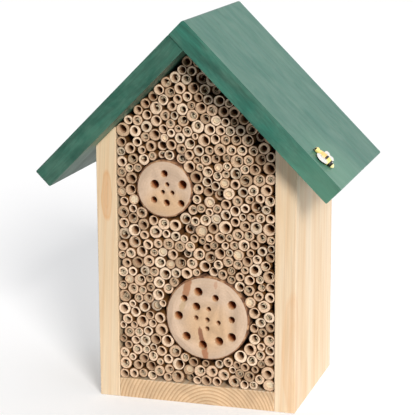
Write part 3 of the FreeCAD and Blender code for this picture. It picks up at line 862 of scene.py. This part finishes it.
def ball(mesh, middle, size, finish, tones=None, slices=20, rows=14, lumpy=0.0):
    """A lumpy ellipsoid in the bee's frame, its rows running along X, that stops at the roof."""
    above_roof = 0.02 * MM
    chain = []
    for row in range(rows + 1):
        share = row / rows
        angle = math.pi * share
        x = middle[0] - size[0] * math.cos(angle)
        tone = tones(x) if tones else 0.5
        points = []
        for i in range(slices):
            turn = TURN * i / slices
            lump = noise.noise(Vector((x / MM, math.cos(turn) * 2, math.sin(turn) * 2)))
            spread = math.sin(angle) * (1 + lumpy * lump)
            points.append(on_roof((x, middle[1] + size[1] * spread * math.cos(turn),
                                   max(middle[2] + size[2] * spread * math.sin(turn), above_roof))))
        chain.append(mesh.ring(points, tone))
    for first, second in zip(chain, chain[1:]):
        mesh.skin(first, second, finish)


def wing(name, node, side, outline, rise, made):
    """A cupped blade with raised veins; its outline is (along, across) in millimetres."""
    height = 2.9                 # of the wing's root above the roof, in millimetres like the rest here
    span = 12
    cupping = 0.5
    thickness = 0.6
    vein_height = 0.18
    rounding = 0.2
    mesh = Mesh()
    root = outline[0]
    tops = []
    undersides = []
    for share in (1.0, 0.97, 0.8, 0.6, 0.4, 0.2):
        top = []
        under = []
        edge = rounding if share == 1.0 else 0.0
        for k, (along, across) in enumerate(outline):
            x = root[0] + (along - root[0]) * share
            y = root[1] + (across - root[1]) * share
            middle = height + cupping * math.sin(math.pi * min(y / span, 1.0)) + rise * y
            vein = vein_height if k % 3 == 1 and share < 0.95 else 0.0
            top.append(on_roof((x * MM, side * y * MM, (middle + vein - edge) * MM)))
            under.append(on_roof((x * MM, side * y * MM, (middle - thickness + edge) * MM)))
        tone = 0.0 if share > 0.9 else share
        tops.append(mesh.ring(top, tone))
        undersides.append(mesh.ring(under, tone))
    for first, second in zip(tops, tops[1:]):
        mesh.skin(first, second, 0)
    for first, second in zip(undersides, undersides[1:]):
        mesh.skin(second, first, 0)
    mesh.skin(undersides[0], tops[0], 0)
    mesh.cap(tops[-1], 0)
    mesh.cap(undersides[-1], 0, True)
    piece = mesh.piece(name, [made])
    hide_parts(node)


def smooth_outline(corners, steps=5):
    """A closed curve through corners, as a Catmull-Rom spline."""
    count = len(corners)
    points = []
    for i in range(count):
        a, b, c, d = (Vector(corners[(i + k) % count]) for k in (-1, 0, 1, 2))
        for step in range(steps):
            t = step / steps
            square = (2 * a - 5 * b + 4 * c - d) * t ** 2
            cube = (3 * b - a - 3 * c + d) * t ** 3
            points.append(tuple(0.5 * (2 * b + (c - a) * t + square + cube)))
    return points


def painted(name, stops, roughness=0.3):
    """Brush-painted resin: slightly uneven gloss paint, its colour set by the tone of each part."""
    made, tree, shader, place = material(name, roughness, Coat_Weight=0.3)
    tone = add(tree, "ShaderNodeAttribute", output="Fac", attribute_name="tone")
    colour = add(tree, "ShaderNodeValToRGB", {"Fac": tone}, stops=stops)
    blot = mottle(tree, place, 0.7 * MM, 0.86, 1.06)
    colour = add(tree, "ShaderNodeMix", {SHARE: 1.0, UNDER: colour, OVER: blot}, **MULTIPLY)
    surface(tree, shader, colour, blot, 0.6 * MM)
    return made


def bee():
    """The painted bee: its banded body, its head with black eyes and feelers, and its white wings."""
    # all in millimetres down the roof from the bee's middle; each band's edge is a little soft
    tail = 10.8
    head = -9.6
    soft = 0.006

    def place_tone(x):
        return (x / MM - head) / (tail - head)

    changes = ((-5.5, "f2df8e", "ebc277"), (-0.2, "e9c079", "17130d"), (1.9, "17130d", "f0dc7e"),
               (5.2, "efdb84", "17130d"), (8.3, "17130d", "eee5a2"))
    stops = [(0.0, "f2e08c")]
    for x, before, after in changes:
        stops += [(place_tone(x * MM) - soft, before), (place_tone(x * MM) + soft, after)]
    stops.append((1.0, "efe8b0"))
    yellow = painted("bee_banded_paint", stops)
    white = painted("bee_white_paint", ((0.0, "dededb"), (0.3, "c6c4c0"), (0.7, "dadad8"), (1.0, "e6e6e4")))
    black = painted("bee_black_paint", ((0.0, "14120f"), (1.0, "1f1a15")), 0.25)

    body = Mesh()
    ball(body, (0.6 * MM, 0, 2.0 * MM), (10.1 * MM, 4.5 * MM, 3.6 * MM), 0, place_tone, 28, 64, 0.04)
    # a painted highlight: a small white dot on the last dark band
    ball(body, (6.9 * MM, -1.2 * MM, 4.7 * MM), (0.6 * MM, 0.45 * MM, 0.35 * MM), 1, None, 10, 8)
    piece = body.piece("bee_body_painted", [yellow, white])
    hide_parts("bee_body")

    face = Mesh()
    ball(face, (-9.3 * MM, 0, 2.2 * MM), (2.5 * MM, 2.7 * MM, 2.3 * MM), 0, place_tone, 22, 18)
    for side in (-1, 1):
        ball(face, (-10.6 * MM, side * 1.5 * MM, 2.6 * MM), (1.0 * MM, 1.1 * MM, 1.2 * MM), 1, None, 14, 10)
        ball(face, (-10.9 * MM, side * 2.3 * MM, 0.9 * MM), (1.1 * MM, 0.45 * MM, 0.4 * MM), 1, None, 10, 8)
    piece = face.piece("bee_head_painted", [yellow, black])
    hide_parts("bee_head")

    front = smooth_outline([(-2.4, 2.2), (-6.4, 5.4), (-6.6, 8.8), (-3.4, 11.2), (1.0, 10.8), (4.2, 8.2),
                            (4.6, 5.0), (1.8, 2.2)])
    wing("bee_wing_front_painted", "bee_wing_front", -1, front, -0.08, white)
    rear = smooth_outline([(-1.0, 2.0), (-3.8, 4.4), (-3.6, 7.0), (-0.8, 8.2), (1.4, 6.4), (3.8, 7.4),
                           (6.2, 5.8), (6.0, 3.6), (2.4, 2.0)])
    wing("bee_wing_rear_painted", "bee_wing_rear", 1, rear, 0.3, white)


# ---------------------------------------------------------------- metal and panel
def zinc_plate():
    """Bright zinc on rolled steel, with faint rolling lines."""
    made, tree, shader, place = material("zinc_plated_steel", 0.32, Metallic=1.0)
    lines = mottle(tree, place, 0.31 * MM, 0.0, 1.0, (0.05, 1.0, 1.0))
    colour = add(tree, "ShaderNodeValToRGB", {"Fac": lines}, stops=((0.0, "a9abab"), (1.0, "c9cac6")))
    rough = add(tree, "ShaderNodeMapRange", {"Value": lines, "To Min": 0.24, "To Max": 0.42})
    tree.links.new(rough, shader.inputs["Roughness"])
    surface(tree, shader, colour, lines, 0.01 * MM)
    return made


def brad_steel():
    """Galvanised wire brads, dull and slightly mottled."""
    made, tree, shader, place = material("galvanised_brads", 0.5, Metallic=1.0)
    mottled = mottle(tree, place, 0.2 * MM, 0.0, 1.0)
    colour = add(tree, "ShaderNodeValToRGB", {"Fac": mottled}, stops=((0.0, "7d8082"), (1.0, "a5a8a8")))
    surface(tree, shader, colour, mottled, 0.02 * MM)
    return made


def finish_nodes():
    """Give the nodes that keep their own meshes their materials."""
    panel = planed_pine("pine_plywood_panel", (40 * MM, 300 * MM, 0), (0.01, 0.0, 1.0), 9 * MM,
                        early="e8cda2", late="cf9f66", contrast=0.5, end="c9a273")
    zinc = zinc_plate()
    steel = brad_steel()
    for name in nodes:
        if name == "back_panel":
            finish(name, panel)
        elif name.startswith("hanger_"):
            finish(name, zinc)
        elif name.endswith("_brads"):
            finish(name, steel)


# ---------------------------------------------------------------- stage
def room():
    """Soft light from a room that is bright behind and to the right, and dimmer on the near left."""
    bright_way = Vector((0.62, 0.72, 0.3)).normalized()
    dimmest = 0.02
    world = bpy.data.worlds.new("studio")
    bpy.context.scene.world = world
    world.use_nodes = True
    tree = world.node_tree
    direction = add(tree, "ShaderNodeTexCoord", output="Generated")
    toward = add(tree, "ShaderNodeVectorMath", {0: direction, 1: bright_way}, output="Value",
                 operation="DOT_PRODUCT")
    strength = add(tree, "ShaderNodeMapRange",
                   {"Value": toward, "From Min": -0.5, "From Max": 0.7, "To Min": dimmest, "To Max": 1.0},
                   interpolation_type="SMOOTHSTEP")
    # its walls show as a pale band at the horizon, low enough to add little light
    height = add(tree, "ShaderNodeSeparateXYZ", {0: direction}, output=Z)
    band = add(tree, "ShaderNodeMapRange",
               {"Value": height, "From Min": 0.13, "From Max": 0.08, "To Min": 0.0, "To Max": 0.72},
               interpolation_type="SMOOTHSTEP")
    strength = add(tree, "ShaderNodeMath", {0: strength, 1: band}, operation="MAXIMUM")
    background = tree.nodes["Background"]
    background.inputs["Color"].default_value = WHITE
    tree.links.new(strength, background.inputs["Strength"])


def floor():
    """White paper, greyer well in front of the object, so that less light bounces up at it."""
    half_size = 9.0
    height = -0.1 * MM
    near_grey = 0.46
    paper_colour = (0.7, 0.71, 0.73, 1.0)
    made, tree, shader, place = material("pale_floor", 0.9, Specular_IOR_Level=0.0)
    ahead = add(tree, "ShaderNodeSeparateXYZ", {0: place}, output=Y)
    shade = add(tree, "ShaderNodeMapRange",
                {"Value": ahead, "From Min": -0.5, "From Max": -0.13, "To Min": near_grey, "To Max": 1.0},
                interpolation_type="SMOOTHSTEP")
    paper = add(tree, "ShaderNodeMix", {SHARE: 1.0, UNDER: paper_colour, OVER: shade}, **MULTIPLY)
    tree.links.new(paper, shader.inputs["Base Color"])
    # lit from below as well, like a light table, which keeps the object's shadow faint
    glow = add(tree, "ShaderNodeMath", {0: shade, 1: 0.3}, operation="MULTIPLY")
    shader.inputs["Emission Color"].default_value = WHITE
    tree.links.new(glow, shader.inputs["Emission Strength"])
    data = bpy.data.meshes.new("floor")
    corners = [(x * half_size, y * half_size, height) for x, y in ((-1, -1), (1, -1), (1, 1), (-1, 1))]
    data.from_pydata(corners, [], [(0, 1, 2, 3)])
    data.materials.append(made)
    sheet = bpy.data.objects.new("floor", data)
    bpy.context.scene.collection.objects.link(sheet)


def lamp():
    """One large soft lamp, to the right of the camera and above it."""
    way_to_lamp = Vector((0.5, -0.76, 0.42))
    sun = bpy.data.lights.new("key", "SUN")
    sun.energy = 3.34
    sun.angle = math.radians(15)
    sun.color = linear("fffaf4")[:3]
    holder = bpy.data.objects.new("key", sun)
    holder.rotation_euler = way_to_lamp.to_track_quat("Z", "Y").to_euler()
    bpy.context.scene.collection.objects.link(holder)
    bpy.context.scene.view_settings.view_transform = "Standard"
    bpy.context.scene.view_settings.look = "None"


def camera():
    """A long lens in front of the object, a little to its right and above it."""
    azimuth = math.radians(17.13)
    elevation = math.radians(13.09)
    roll = math.radians(-0.277)
    distance = 1433.5 * MM
    aim = centre + Vector((-5.1, 0.0, -5.0)) * MM
    back = Vector((math.sin(azimuth) * math.cos(elevation),
                   -math.cos(azimuth) * math.cos(elevation),
                   math.sin(elevation)))
    right = Vector((math.cos(azimuth), math.sin(azimuth), 0.0))
    up = back.cross(right)
    rolled_right = right * math.cos(roll) + up * math.sin(roll)
    rolled_up = up * math.cos(roll) - right * math.sin(roll)
    data = bpy.data.cameras.new("camera")
    data.lens = 138.9
    data.sensor_width = 36.0
    holder = bpy.data.objects.new("camera", data)
    turn = Matrix((rolled_right, rolled_up, back)).transposed().to_4x4()
    holder.matrix_world = Matrix.Translation(aim + back * distance) @ turn
    bpy.context.scene.collection.objects.link(holder)
    bpy.context.scene.camera = holder


camera()
room()
floor()
lamp()
boards()
finish_nodes()
reeds()
logs()
bee()
